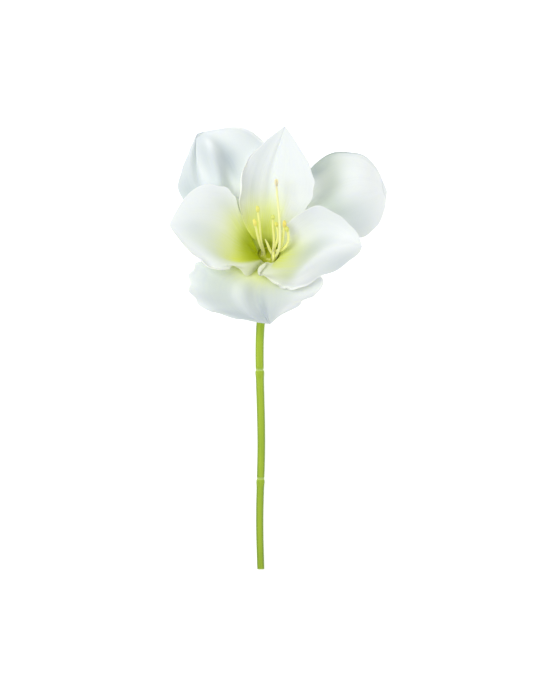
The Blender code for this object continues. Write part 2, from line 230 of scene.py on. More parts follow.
TEPALS = (
    Tepal(
        name="inner_top",
        angle=90,
        lines={
            -1: [(-9, 12.6, 41), (-20.5, 33, 48), (-22.7, 58, 51), (-16, 81, 49), (-3, 99, 44)],
            0: [(0, 15.3, 36), (1, 37, 38), (3.6, 59.5, 40), (8, 82, 42), (12.6, 99, 42)],
            1: [(14.4, 12.6, 35), (32, 34, 43), (43, 56, 51), (39.6, 77.5, 51), (29.7, 97, 46)],
        },
        tip=(17.1, 115.5, 39),
        glow=44,
        claw=13,
        grey=0.18,
        pale=(0.0, 0.35),
        folds=[Fold(-0.03, 0.1, -1.6, start=0.3)],
        curls=[Curl(-1, 4.5, 100, 0.22, 0.88)],
        shade_patches=[
            PaintedShadePatch(0.7, 0.3, 0.35, 0.17, -0.2, -0.25),
            PaintedShadePatch(-0.7, 0.8, 0.3, 0.2, 0.2),
            PaintedShadePatch(-0.55, 0.5, 0.12, 0.15, 0.2),
            PaintedShadePatch(-0.02, 0.45, 0.1, 0.12, 0.2),
        ],
    ),
    Tepal(
        name="inner_left",
        angle=210,
        lines={
            -1: [(-14.4, -18.5, 46), (-23.5, -12, 52), (-41, -12.6, 61), (-60, -4.5, 66), (-77, 12, 67)],
            -0.5: [(-9, -6.0, 48), (-23, -8.0, 54), (-42, -3, 60), (-61, 8, 62), (-79, 18.5, 64)],
            0: [(-12.6, 2.7, 42), (-25, 9, 45), (-40, 19, 50), (-60, 25, 57), (-77, 27, 62)],
            1: [(-11.7, 11.7, 38), (-21, 32, 44), (-29, 53, 50), (-48.6, 62, 54), (-73, 50, 58)],
        },
        tip=(-87, 25.5, 64),
        glow=42,
        claw=30,
        grey=0.18,
        pale=(0.62, 0.0),
        waves=((0.6, 5.0), (0.8, 4.0)),
        curls=[Curl(-1, 4.0, 130, 0.2, 0.92)],
        shade_patches=[
            PaintedShadePatch(-0.25, 0.6, 0.35, 0.2, 0.36, 0.06),
            PaintedShadePatch(0.05, 0.43, 0.2, 0.12, -0.18, -0.15),
            PaintedShadePatch(-0.5, 0.45, 0.15, 0.2, 0.3, 0.08),
            PaintedShadePatch(-0.8, 0.2, 0.35, 0.18, -0.3),
            PaintedShadePatch(0.65, 0.52, 0.25, 0.13, 0.25, 0.05),
            PaintedShadePatch(-0.38, 0.3, 0.12, 0.15, 0.3, 0.12),
            PaintedShadePatch(-0.1, 0.78, 0.3, 0.12, 0.15),
        ],
    ),
    Tepal(
        name="inner_right",
        angle=330,
        lines={
            -1: [(11.7, 10.8, 41), (22.5, 30, 51), (41.4, 42, 56), (64, 35.5, 58), (81, 19.5, 59)],
            0: [(15.5, 0.5, 38), (30.6, 5, 43), (46.8, 11.6, 50), (63, 12.6, 56), (75.6, 10, 59)],
            0.6: [(4.0, -11.2, 45), (14.5, -16.5, 52), (31, -15.5, 57), (50.5, -3, 60), (71, 4.5, 61)],
            1: [(-2.5, -12.0, 46), (6.4, -23.0, 48), (22, -30, 50), (53, -19, 52), (80, -3, 57)],
        },
        tip=(86, 7.0, 61),
        glow=31,
        claw=5,
        grey=0.21,
        pale=(0.0, 0.6),
        waves=((0.8, 4.0), (1.0, 6.0)),
        curls=[
            Curl(1, 9.0, 290, 0.09, 0.25),
            Curl(1, 3.5, 150, 0.2, 0.75),
        ],
        shade_patches=[
            PaintedShadePatch(0.2, 0.48, 0.27, 0.18, 0.6, 0.08),
            PaintedShadePatch(0.1, 0.27, 0.2, 0.1, 0.35),
            PaintedShadePatch(0.66, 0.39, 0.22, 0.12, 0.7, 0.3),
            PaintedShadePatch(0.95, 0.8, 0.25, 0.12, 0.5),
            PaintedShadePatch(0.85, 0.62, 0.12, 0.08, -0.3),
            PaintedShadePatch(-0.7, 0.23, 0.45, 0.12, -0.3, -0.35),
            PaintedShadePatch(0.0, 0.85, 0.6, 0.13, -0.3),
        ],
    ),
    Tepal(
        name="outer_lower",
        angle=270,
        outer=True,
        lines={
            -1: [(11, -12, 38), (29, -11, 41), (49, -20, 44), (41.4, -38, 43), (20, -50.5, 39)],
            0: [(0, -12.5, 39), (-2.7, -22.5, 42.5), (-7, -34, 47), (-5.4, -46, 47), (-1, -56, 42)],
            1: [(-9, -8, 38.5), (-36, -3, 43), (-66, -13, 47), (-63.5, -42, 43), (-31, -57, 38)],
        },
        tip=(3.6, -63, 36),
        glow=28,
        claw=8,
        grey=0.7,
        waves=((1.8, 6.0), (1.9, 8.0)),
        folds=[
            Fold(0.22, 0.12, 4.5, start=0.3, end=0.97),
            Fold(0.02, 0.14, -2.0, start=0.35),
            Fold(-0.05, 0.035, 1.4, start=0.5),
        ],
        curls=[Curl(-1, 2.0, -80, 0.4, 0.9)],
        shade_patches=[
            PaintedShadePatch(-0.8, 0.62, 0.35, 0.25, -0.5),
            PaintedShadePatch(-0.05, 0.65, 0.08, 0.2, 0.3),
            PaintedShadePatch(0.33, 0.52, 0.08, 0.15, -0.25),
            PaintedShadePatch(0.6, 0.5, 0.2, 0.2, 0.1, 0.07),
            PaintedShadePatch(0.5, 0.82, 0.45, 0.1, 0.2),
            PaintedShadePatch(0.97, 0.65, 0.12, 0.25, -0.3),
            PaintedShadePatch(-0.65, 0.8, 0.25, 0.12, -0.35),
            PaintedShadePatch(0.3, 0.25, 0.6, 0.12, -0.6, 0.02),
        ],
    ),
    Tepal(
        name="outer_upper_left",
        angle=150,
        outer=True,
        lines={
            -1: [(-17, 6.3, 33), (-44, 20, 34), (-71, 43, 30), (-79, 67, 22), (-72, 90, 12)],
            0: [(-13.5, 14.4, 32), (-23.4, 36, 33), (-34, 61, 36), (-47, 84.6, 32), (-57, 101, 17)],
            1: [(-5.4, 20, 30), (-3.6, 41, 32), (1, 67, 34), (-5, 103, 28), (-34, 114.5, 17)],
        },
        tip=(-63, 111, -8),
        glow=34,
        claw=9,
        grey=0.66,
        folds=[
            Fold(-0.13, 0.12, 3.5, start=0.35, end=0.8, drift=1.2),
            Fold(0.13, 0.22, -5.0, start=0.3, end=0.78, drift=1.0),
            Fold(0.5, 0.25, -3.0, start=0.3, end=0.8),
            Fold(-0.5, 0.08, -4.5, start=0.45),
        ],
        curls=[Curl(1, 3.0, -70, 0.5, 0.9)],
        shade_patches=[
            PaintedShadePatch(-0.36, 0.6, 0.15, 0.13, -0.35),
            PaintedShadePatch(0.25, 0.58, 0.1, 0.12, 0.34),
            PaintedShadePatch(0.17, 0.76, 0.14, 0.08, -0.35),
            PaintedShadePatch(-0.8, 0.52, 0.2, 0.1, 0.3),
            PaintedShadePatch(0.38, 0.68, 0.12, 0.12, 0.25),
            PaintedShadePatch(0.7, 0.45, 0.28, 0.2, -0.66),
            PaintedShadePatch(0.7, 0.8, 0.4, 0.1, -0.35),
            PaintedShadePatch(0.2, 0.39, 0.3, 0.13, -0.66, 0.04),
        ],
    ),
    Tepal(
        name="outer_upper_right",
        angle=30,
        outer=True,
        lines={
            -1: [(10, 20, 30), (21.6, 45, 31), (37.8, 74, 28), (66, 92, 22), (94, 84, 12)],
            0: [(16.5, 12.6, 31), (36, 28, 34), (58.5, 44, 36), (79, 55, 30), (97, 58.5, 16)],
            1: [(20.5, 4, 34), (47, 10, 37), (71, 12.6, 33), (94.5, 20, 23), (106.2, 37, 13)],
        },
        tip=(110.2, 58.5, -8),
        glow=40,
        claw=20,
        grey=0.0,
        folds=[Fold(-0.5, 0.35, -9.0, start=0.1, end=0.75)],
        curls=[Curl(-1, 2.5, 110, 0.35, 0.95)],
        shade_patches=[
            PaintedShadePatch(-0.85, 0.59, 0.3, 0.09, 0.6, 0.1),
            PaintedShadePatch(-0.45, 0.56, 0.25, 0.08, 0.45, 0.08),
            PaintedShadePatch(-0.08, 0.47, 0.3, 0.1, 0.75, 0.12),
            PaintedShadePatch(0.28, 0.52, 0.2, 0.12, 0.3, 0.05),
            PaintedShadePatch(-1.05, 0.68, 0.07, 0.25, 0.8),
            PaintedShadePatch(-0.95, 0.52, 0.16, 0.07, 0.95),
            PaintedShadePatch(0.6, 0.6, 0.5, 0.15, 0.5),
        ],
    ),
)

# Each stamen's line: its root in the disc, a second point near the tube's mouth, both as (right,
# up, along the bloom's axis) from the throat, and then places measured like the tepals'. Its
# last numbers are how ripe the anther is, from green at 0 to orange at 1, and its length.
STAMENS = (
    (((-5.4, 3.2, -4.5), (-5.8, 3.6, 1)), [(-5.2, 8.5, 40), (-8.0, 18.5, 48), (-10.8, 31, 56)], 0.5, 6.8),
    (((-4.6, 2.2, -4.5), (-4.9, 3.2, 1)), [(-3.9, 9, 39), (-5.6, 23.4, 49), (-7.8, 43, 60)], 0.3, 6.5),
    (((2.7, -1.1, -4.5), (3.4, -0.8, 1)), [(7.2, 12.6, 43), (6.3, 26, 51), (6.3, 35, 56)], 0.1, 4.8),
    (((3.6, -5.2, -4.5), (3.9, -4.9, 1)), [(6.7, 1.5, 38), (10.3, 12.6, 44.5), (9, 28.8, 52)], 0.3, 5.0),
    (((5.8, 0.8, -4.5), (6.0, 1.0, 2)), [(12.0, 4.5, 42.5), (14.8, 12, 47.5), (16.7, 30, 58)], 0.65, 7.0),
    (
        ((5.6, 3.4, -4.5), (6.2, 3.2, -1)),
        [(11.2, 2.8, 40), (16.4, 5.4, 44.5), (20.2, 13, 49.5), (18, 25, 55)],
        0.2,
        6.0,
    ),
)
BARE_FILAMENT = (((2.7, -1.1, -4.5), (2.9, -0.4, 1)), [(3.4, 4, 38), (1.4, 9, 42), (-0.9, 13.5, 45)])
STYLE = (
    ((5.6, -3.1, -5.7), (6.1, -3.0, 1)),
    [(11.0, 2.5, 45), (12.6, 20, 54), (11.6, 36, 58), (10, 54, 61), (9, 66.6, 64)],
)


# Settings that the panel shows

def size_property(name, description, default):
    return FloatProperty(
        name=name, description=description, default=default, min=0.0, subtype="DISTANCE", unit="LENGTH"
    )


def colour_property(name, description, default):
    return FloatVectorProperty(
        name=name, description=description, default=default, min=0.0, max=1.0, subtype="COLOR"
    )


class TepalSettings(bpy.types.PropertyGroup):
    midrib: size_property("Midrib", "Thickness of a tepal along its midrib", 0.0013)
    margin: size_property("Margin", "Thickness of a tepal at its margins", 0.0005)
    rib_depth: size_property("Rib depth", "How far the soft ribs stand off the blade", 0.00005)
    ruffle: FloatProperty(name="Ruffle", description="Scale of the waves on margins", default=1.0, min=0.0)
    ribs: IntProperty(name="Ribs", description="Soft ribs across each tepal", default=9, min=1)
    white: colour_property("White", "Colour of the whitest tissue", (0.905, 0.945, 0.93))
    # The shaded greyish blue that the tepals' painted shade goes towards; a little of it is a greyer tissue
    # tone.
    shade_and_grey_colour: colour_property("Cool white", "Colour of the greyest tissue", (0.545, 0.61, 0.645))
    margin_white: colour_property("Margin white", "Colour of the thin margins", (0.94, 0.96, 0.93))
    vein: colour_property("Vein", "Colour along the veins", (0.76, 0.81, 0.77))
    glow: colour_property("Glow", "Yellow green of the blade towards the throat", (0.74, 0.81, 0.13))
    # The claws' deep green is partly the tissue's own and partly painted shade deep in the throat.
    claw: colour_property("Claw", "Deep green of the blade in the throat", (0.37, 0.45, 0.0))


class StemSettings(bpy.types.PropertyGroup):
    radius_at_bloom: size_property("Radius at bloom", "Radius under the bloom", 0.0039)
    radius_at_cut: size_property("Radius at cut", "Radius at the cut end", 0.0032)
    pinch: size_property("Ring pinch", "Depth of the crease of each joint ring", 0.00045)
    swell: size_property("Ring swell", "Height of the swelling below each joint ring", 0.0004)
    green: colour_property("Green", "Colour of the stem", (0.41, 0.55, 0.045))
    streak: colour_property("Streak", "Colour of its darker streaks", (0.20, 0.38, 0.03))
    # The stem's sides are darker near the table: painted shade on the round stem.
    side: colour_property("Sides", "Colour of the stem's sides, near the table", (0.17, 0.27, 0.02))
    ring: colour_property("Ring", "Colour of the joint rings", (0.55, 0.68, 0.22))
    cut: colour_property("Cut", "Colour of the cut face", (0.62, 0.68, 0.40))


class BaseSettings(bpy.types.PropertyGroup):
    ovary: colour_property("Ovary", "Colour of the ovary", (0.28, 0.42, 0.04))
    tube: colour_property("Tube", "Colour of the tube and the throat", (0.58, 0.63, 0.01))


class StamenSettings(bpy.types.PropertyGroup):
    filament_radius: size_property("Filament radius", "Radius of a filament at its root", 0.0014)
    filament_tip: size_property("Filament tip", "Radius of a filament at its anther", 0.00115)
    anther_radius: size_property("Anther radius", "Half the width of an anther", 0.0018)
    grain_radius: size_property("Grain radius", "Radius of a pollen grain", 0.00011)
    filament: colour_property("Filament", "Colour of the filaments", (1.0, 1.0, 0.36))
    root: colour_property("Root", "Colour of the filaments' roots and their disc", (0.48, 0.54, 0.0))
    unripe: colour_property("Unripe anther", "Colour of an unripe anther", (0.80, 0.86, 0.22))
    pollen: colour_property("Pollen", "Colour of an anther that is half ripe", (0.97, 0.90, 0.22))
    ripe: colour_property("Ripe anther", "Colour of an anther full of pollen", (0.95, 0.62, 0.10))


class PistilSettings(bpy.types.PropertyGroup):
    style_radius: size_property("Style radius", "Radius of the style", 0.00125)
    stigma_radius: size_property("Stigma radius", "Radius of a lobe of the stigma", 0.0011)
    style: colour_property("Style", "Colour of the style", (1.0, 1.0, 0.46))
    stigma: colour_property("Stigma", "Colour of the stigma", (1.0, 0.86, 0.50))


class StageSettings(bpy.types.PropertyGroup):
    floor: colour_property("Floor", "Colour of the floor", (0.93, 0.93, 0.93))
    key_side: size_property("Key side", "Side of the square key lamp", 0.9)
    fill_side: size_property("Fill side", "Side of the square fill lamp", 0.8)
    key_watts: FloatProperty(name="Key", description="Watts of the key lamp", default=11.8, min=0.0)
    fill_watts: FloatProperty(name="Fill", description="Watts of the fill lamp", default=2.5, min=0.0)
    ambient: FloatProperty(name="Ambient", description="Strength of the white room", default=0.53, min=0.0)
    floor_glow: FloatProperty(name="Floor glow", description="Light of the floor", default=0.55, min=0.0)


# Shapes

def bloom_axes():
    """Directions to the right and up across the bloom, and out along its axis."""
    lean = math.radians(BLOOM_LEAN)
    rightward = np.array([1.0, 0.0, 0.0])
    upward = np.array([0.0, math.cos(lean), -math.sin(lean)])
    outward = np.array([0.0, math.sin(lean), math.cos(lean)])
    return rightward, upward, outward


def from_throat(right, up, out):
    """A point measured from the middle of the tube's mouth, across the bloom and along its axis."""
    rightward, upward, outward = bloom_axes()
    return THROAT + right * rightward + up * upward + out * outward


def round_throat(angle, radius, out):
    """A point at this angle round the bloom's axis and this far from it."""
    turn = math.radians(angle)
    return from_throat(radius * math.cos(turn), radius * math.sin(turn), out)


def unit(vectors):
    length = np.linalg.norm(vectors, axis=-1, keepdims=True)
    return vectors / np.maximum(length, 1e-9)


def smooth_step(x):
    x = np.clip(x, 0.0, 1.0)
    return x * x * (3 - 2 * x)


def fade_between(x, start, end, soft):
    """1 between start and end and 0 outside, with soft ends of this length inside them."""
    return smooth_step((x - start) / soft) * smooth_step((end - x) / soft)


def spline(knots, values, at):
    """Values of the natural cubic spline through values, which it meets at knots."""
    knots = np.asarray(knots, float)
    values = np.asarray(values, float)
    gaps = np.diff(knots)
    slopes = np.diff(values, axis=0) / gaps[:, None]
    system = np.eye(len(knots))
    bends = np.zeros_like(values)
    for i in range(1, len(knots) - 1):
        system[i, i - 1 : i + 2] = (gaps[i - 1], 2 * (gaps[i - 1] + gaps[i]), gaps[i])
        bends[i] = 6 * (slopes[i] - slopes[i - 1])
    bends = np.linalg.solve(system, bends)
    i = np.clip(np.searchsorted(knots, at, side="right") - 1, 0, len(knots) - 2)
    gap = gaps[i][:, None]
    after = (at - knots[i])[:, None]
    before = gap - after
    curve = (bends[i] * before**3 + bends[i + 1] * after**3) / (6 * gap)
    curve += (values[i] / gap - bends[i] * gap / 6) * before
    curve += (values[i + 1] / gap - bends[i + 1] * gap / 6) * after
    return curve


def arc_shares(points):
    """How far along the line through points each of them lies, from 0 to 1."""
    steps = np.linalg.norm(np.diff(points, axis=0), axis=1)
    return np.concatenate([[0.0], steps.cumsum()]) / steps.sum()


def line_length(points):
    return np.linalg.norm(np.diff(points, axis=0), axis=1).sum()


def tepal_line(tepal, across):
    """One lengthwise line of a tepal: its claw on the tube, its own points, and the tip."""
    angle = tepal.angle - across * CLAW_SECTOR
    radius = TUBE_RADIUS + SEAT_GAP + BLADE_SEAT + WHORL_STEP * tepal.outer
    top = OUTER_CLAW_TOP if tepal.outer else INNER_CLAW_TOP
    outs = np.linspace(-CLAW_DEPTH, top, CLAW_POINTS)
    claw = [round_throat(angle, radius, out) for out in outs]
    return np.array(claw + tepal.lines[across] + [tepal.tip], float)


def upper_normals(grid):
    """Unit normals of a grid of points, on the side that faces away from the table."""
    normals = np.cross(np.gradient(grid, axis=1), np.gradient(grid, axis=0))
    normals[-1] = normals[-2, normals.shape[1] // 2]
    return unit(normals)


def tepal_relief(tepal, along, across, settings):
    """How far the folds, soft ribs and margin waves stand off the plain surface."""
    relief = np.zeros((len(along), len(across)))
    for fold in tepal.folds:
        fade = (fold.end - fold.start) * 0.35
        swell = fade_between(along, fold.start, fold.end + 0.05, fade)
        middle = fold.across + fold.drift * (along - 0.5)
        ridge = np.exp(-(((across[None, :] - middle[:, None]) / fold.width) ** 2))
        relief += fold.height * swell[:, None] * ridge
    blade = fade_between(along, 0.12, 1.0, 0.3)[:, None]
    ribs = np.cos(math.pi * settings.ribs * across)[None, :] * (1 - across**4)[None, :]
    relief += settings.rib_depth / MM * blade * ribs
    phase = math.radians(tepal.angle)
    for side, (height, count) in zip((-1, 1), tepal.waves):
        turn = 2 * math.pi * (count * along + 0.35 * np.sin(5 * along + side))
        wave = np.sin(turn + phase * side)[:, None] * (np.clip(across * side, 0, 1) ** 4)[None, :]
        relief += settings.ruffle * height * blade * wave
    return relief


def frill_shift(tepal, along, across, settings):
    """How far small frills move each point sideways, near the margins only."""
    blade = fade_between(along, 0.2, 1.0, 0.25)[:, None]
    shift = np.zeros((len(along), len(across)))
    for side, (height, count) in zip((-1, 1), tepal.waves):
        turn = 2 * math.pi * (1.2 * count * along + 0.4 * np.cos(7 * along + side))
        edge = np.clip(across * side, 0, 1) ** 6
        shift += 0.8 * height * blade * np.cos(turn)[:, None] * edge[None, :]
    return settings.ruffle * shift


def tepal_surface(tepal, along, across, settings):
    """Points half way through the tepal's thickness, in rows from the claw to the tip."""
    places = sorted(tepal.lines)
    lines = [tepal_line(tepal, place) for place in places]
    shares = arc_shares(lines[places.index(0)])
    curves = np.array([spline(shares, line, along) for line in lines])
    rows = spline(places, curves.reshape(len(places), -1), across)
    grid = rows.reshape(len(across), len(along), 3).swapaxes(0, 1)
    relief = tepal_relief(tepal, along, across, settings)
    frill = frill_shift(tepal, along, across, settings)[:, :, None] * unit(np.gradient(grid, axis=1))
    return grid + upper_normals(grid) * relief[:, :, None] + frill


def curl_strip(grid, side, curls, along):
    """Extra columns that roll over from one margin, in order away from it."""
    edge, beside = (0, 1) if side < 0 else (-1, -2)
    margin = grid[:, edge]
    run = unit(np.gradient(margin, axis=0))
    away = margin - grid[:, beside]
    away = unit(away - run * (away * run).sum(axis=1, keepdims=True))
    normals = upper_normals(grid)[:, edge]
    width = np.full(len(along), 0.04)
    turn = np.full(len(along), 0.05)
    for curl in curls:
        amount = fade_between(along, curl.start, curl.end, (curl.end - curl.start) * 0.4)
        width = np.maximum(width, curl.width * amount)
        rolled = math.radians(curl.turn) * amount
        turn = np.where(abs(turn) > abs(rolled), turn, rolled)
    columns = []
    for step in range(1, CURL_COLUMNS + 1):
        angle = turn * step / CURL_COLUMNS
        out = np.sin(angle) / turn * width
        up = (1 - np.cos(angle)) / turn * width
        columns.append(margin + out[:, None] * away + up[:, None] * normals)
    return np.stack(columns, axis=1)


def tepal_blade(tepal, settings):
    """Points of a tepal as closed rings round its blade, with its places across and along."""
    along = 1 - (1 - np.linspace(0, 1, TEPAL_ROWS + 1)) ** TIP_CROWDING
    across = np.linspace(-1, 1, TEPAL_COLUMNS)
    grid = tepal_surface(tepal, along, across, settings)
    places = across
    strips = {}
    for side in {curl.side for curl in tepal.curls}:
        curls = [curl for curl in tepal.curls if curl.side == side]
        strips[side] = curl_strip(grid, side, curls, along)
    beyond = 1 + 0.01 * np.arange(1, CURL_COLUMNS + 1)
    if 1 in strips:
        grid = np.concatenate([grid, strips[1]], axis=1)
        places = np.concatenate([places, beyond])
    if -1 in strips:
        grid = np.concatenate([strips[-1][:, ::-1], grid], axis=1)
        places = np.concatenate([-beyond[::-1], places])
    normals = upper_normals(grid)
    inward = np.clip(1 - np.abs(places), 0, 1)
    edge, middle = settings.margin / MM / 2, settings.midrib / MM / 2
    half = edge + (middle - edge) * smooth_step(inward * 1.6)[None, :] * (1 - 0.6 * along**2)[:, None]
    half *= smooth_step((1.02 - along) / 0.06)[:, None]
    keel = KEEL_HEIGHT * np.exp(-((places / KEEL_WIDTH) ** 2))[None, :]
    keel = keel * fade_between(along, 0.02, 0.98, 0.3)[:, None]
    upper = grid + normals * half[:, :, None]
    lower = grid - normals * (half + keel)[:, :, None]
    left = grid[:, :1] + unit(grid[:, :1] - grid[:, 1:2]) * edge * 0.9
    right = grid[:, -1:] + unit(grid[:, -1:] - grid[:, -2:-1]) * edge * 0.9
    rings = np.concatenate([upper, right, lower[:, ::-1], left], axis=1)
    lowest = np.concatenate([2 * half, half[:, -1:], 0 * half, half[:, :1]], axis=1)
    rings[..., 2] = np.maximum(rings[..., 2], lowest)
    ring_places = np.concatenate([places, places[-1:], places[::-1], places[:1]])
    return rings, ring_places, along


def painted_shade_tones(tepal, across, along):
    """What the patches' painted light and shade add to the greyness and to the green at each point."""
    grey, green = np.zeros(len(across)), np.zeros(len(across))
    for patch in tepal.shade_patches:
        near = ((across - patch.across) / patch.wide) ** 2 + ((along - patch.along) / patch.long) ** 2
        grey += patch.grey * np.exp(-near)
        green += patch.green * np.exp(-near)
    return grey, green


def blade_faces(rows, ring):
    """Faces of a closed blade whose points are rings, the last row being the tip alone."""
    faces = []
    for start in range(0, (rows - 1) * ring, ring):
        for a in range(ring):
            b = (a + 1) % ring
            faces.append((start + a, start + b, start + ring + b, start + ring + a))
    last = (rows - 1) * ring
    tip = rows * ring
    faces += [(last + a, last + (a + 1) % ring, tip) for a in range(ring)]
    columns = ring // 2 - 1
    for column in range(columns - 1):
        below = 2 * columns - column
        faces.append((column + 1, column, below, below - 1))
    faces.append((columns + 1, columns, columns - 1))
    faces.append((0, 2 * columns + 1, 2 * columns))
    return faces


def turned(profile, sides, lobes=None):
    """A solid turned round the bloom's axis from a run of (radius, out) points, up one side."""
    points = []
    rings = []
    for radius, out in profile:
        count = sides if radius > 0 else 1
        rings.append([len(points) + a for a in range(count)])
        for a in range(count):
            angle = 360 * a / count
            swell = lobes(angle, out) if lobes else 1.0
            points.append(round_throat(angle, radius * swell, out))
    faces = []
    for ring, after in zip(rings, rings[1:]):
        for a in range(sides):
            b = (a + 1) % sides
            corners = [ring[a % len(ring)], ring[b % len(ring)]]
            corners += [after[b % len(after)], after[a % len(after)]]
            faces.append(tuple(dict.fromkeys(corners)))
    return np.array(points), faces


def base_profile():
    """The base's outline: up its outside from the foot, over the rim and down to the floor."""
    inner = TUBE_RADIUS - TUBE_WALL
    ledge_radius = TUBE_RADIUS + SEAT_GAP + 2 * BLADE_SEAT + WHORL_STEP
    ledge_depth = CLAW_DEPTH + SEAT_GAP
    shape = np.array([FOOT, OVARY, NECK, (ledge_radius, ledge_depth)])
    depths = np.linspace(FOOT[1], ledge_depth, BASE_RINGS)
    radii = spline(-shape[:, 1], shape[:, :1], -depths)[:, 0]
    outside = [(radius, -depth) for radius, depth in zip(radii, depths)]
    rim = [(TUBE_RADIUS, 0.4), (TUBE_RADIUS - 0.15, 0.1), (TUBE_RADIUS - TUBE_WALL / 2, 0.0)]
    rim += [(inner + 0.15, 0.1), (inner, 0.4)]
    rim = [(radius, -RIM_DEPTH - below) for radius, below in rim]
    foot = [(0, -FOOT[1]), (FOOT[0] * 0.9, -FOOT[1] - 0.05)]
    return foot + outside + [(TUBE_RADIUS, -ledge_depth)] + rim + [(inner, -THROAT_DEPTH), (0, -THROAT_DEPTH)]


def stem_path(settings):
    """Points and radii of the stem, from under the ovary down to the table and to the cut end."""
    top = [from_throat(0, 0, -FOOT[1] - SEAT_GAP - reach) for reach in (0, 4)]
    knots = np.array(top + STEM_LINE, float)
    at = np.linspace(0, 1, round(line_length(knots) / STEM_STEP))
    path = spline(arc_shares(knots), knots, at)
    thin, thick = settings.radius_at_cut / MM, settings.radius_at_bloom / MM
    radii = thick + (thin - thick) * at
    for ring in JOINT_RINGS:
        away = (path[:, 1] - ring) / RING_REACH
        radii += settings.swell / MM * np.exp(-((away + 1) ** 2))
        radii -= settings.pinch / MM * np.exp(-((3 * away) ** 2))
    path[:, 2] = np.maximum(path[:, 2], radii)
    return path, radii


def filament_path(line, steps=48):
    """Points along a filament or style."""
    roots, places = line
    knots = np.array([from_throat(*root) for root in roots] + places, float)
    return spline(arc_shares(knots), knots, np.linspace(0, 1, steps))


def anther(centre, tangent, radius, length, sides=20, rings=22):
    """A closed anther of two lobes, slightly bent, along tangent from its centre."""
    side = unit(np.cross(tangent, [0.3, 0.2, 1.0]))
    over = np.cross(side, tangent)
    points = [centre - tangent * length / 2]
    for step in range(1, rings):
        share = step / rings
        bulge = radius * math.sin(math.pi * share) ** 0.45
        middle = centre + tangent * length * (share - 0.5)
        middle = middle + over * 0.5 * math.cos(math.pi * (share - 0.5) * 2)
        for corner in range(sides):
            turn = 2 * math.pi * corner / sides
            lobe = 0.62 + 0.38 * abs(math.cos(turn)) ** 0.8
            points.append(middle + bulge * lobe * (math.cos(turn) * side + 0.8 * math.sin(turn) * over))
    points.append(centre + tangent * length / 2)
    faces = [(0, 1 + (a + 1) % sides, 1 + a) for a in range(sides)]
    for start in range(1, 1 + (rings - 2) * sides, sides):
        for a in range(sides):
            b = (a + 1) % sides
            faces.append((start + a, start + b, start + sides + b, start + sides + a))
    last = 1 + (rings - 2) * sides
    faces += [(last + a, last + (a + 1) % sides, len(points) - 1) for a in range(sides)]
    return np.array(points), faces


# Meshes and objects

def make_mesh(name, points, faces=(), edges=()):
    """A mesh in metres from points in millimetres, measured like the tables."""
    mesh = bpy.data.meshes.new(name)
    places = (np.asarray(points) + BLOOM_PLACE) * MM
    mesh.from_pydata(places.tolist(), list(edges), list(faces))
    mesh.shade_smooth()
    return mesh


def point_values(mesh, name, values):
    """A number at each point of a mesh."""
    made = mesh.attributes.new(name, "FLOAT", "POINT")
    made.data.foreach_set("value", np.asarray(values, np.float32))


def make_object(name, data, finish=None):
    obj = bpy.data.objects.new(name, data)
    bpy.context.scene.collection.objects.link(obj)
    if finish:
        data.materials.append(finish)
    return obj


def hand_over(piece, node):
    """The piece takes the place of a CAD node and rides on the one body."""
    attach(piece, "root")
    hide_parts(node)


def stalks_mesh(name, stalks):
    """Bare lines with a thickness at each point, from (points, radii, value) of each stalk."""
    points, edges, radii, values = [], [], [], []
    for path, thickness, value in stalks:
        start = len(radii)
        points += list(path)
        edges += [(start + a, start + a + 1) for a in range(len(path) - 1)]
        radii += list(np.asarray(thickness) * MM)
        values += list(np.broadcast_to(value, len(path)))
    mesh = make_mesh(name, points, edges=edges)
    point_values(mesh, "thickness", radii)
    point_values(mesh, "share", values)
    return mesh


def grown(name, mesh, tree, **values):
    """The object that a geometry node tree makes of a mesh, as a plain mesh."""
    obj = make_object(name, mesh)
    modifier = obj.modifiers.new(tree.name, "NODES")
    modifier.node_group = tree
    for item in tree.interface.items_tree:
        if item.in_out == "INPUT" and item.name in values:
            modifier[item.identifier] = values[item.name]
    seen = obj.evaluated_get(bpy.context.evaluated_depsgraph_get())
    made = bpy.data.meshes.new_from_object(seen)
    obj.modifiers.clear()
    obj.data = made
    return obj


# Node trees

def add_node(tree, kind, inputs=None, **settings):
    """A new node. Each input is a value, or a socket that is linked to it."""
    node = tree.nodes.new(kind)
    for name, value in settings.items():
        setattr(node, name, value)
    for key, value in (inputs or {}).items():
        if isinstance(value, bpy.types.NodeSocket):
            tree.links.new(value, node.inputs[key])
        else:
            node.inputs[key].default_value = value
    return node


def calculate(tree, operation, first, second=0.0, third=0.0, clamp=False):
    inputs = {0: first, 1: second, 2: third}
    return add_node(tree, "ShaderNodeMath", inputs, operation=operation, use_clamp=clamp).outputs[0]


def around(tree, value, middle, scale):
    """How far a value is above middle, times scale."""
    return calculate(tree, "MULTIPLY", calculate(tree, "SUBTRACT", value, middle), scale)


def stored(tree, name):
    """A number that the mesh holds at each point."""
    return add_node(tree, "ShaderNodeAttribute", attribute_name=name).outputs["Fac"]


def blend_colours(tree, amount, first, second):
    """A mix of two colours, each a colour of three numbers or a socket."""
    colours = [c if isinstance(c, bpy.types.NodeSocket) else (*c, 1.0) for c in (first, second)]
    inputs = {"Factor": amount, "A": colours[0], "B": colours[1]}
    node = tree.nodes.new("ShaderNodeMix")
    node.data_type = "RGBA"
    for key, value in inputs.items():
        socket = [s for s in node.inputs if s.name == key and s.enabled][0]
        if isinstance(value, bpy.types.NodeSocket):
            tree.links.new(value, socket)
        else:
            socket.default_value = value
    return [s for s in node.outputs if s.enabled][0]


def ramp(tree, value, low, high):
    """A smooth rise from 0 at low to 1 at high."""
    inputs = {"Value": value, "From Min": low, "From Max": high}
    node = add_node(tree, "ShaderNodeMapRange", inputs, interpolation_type="SMOOTHSTEP")
    return node.outputs["Result"]


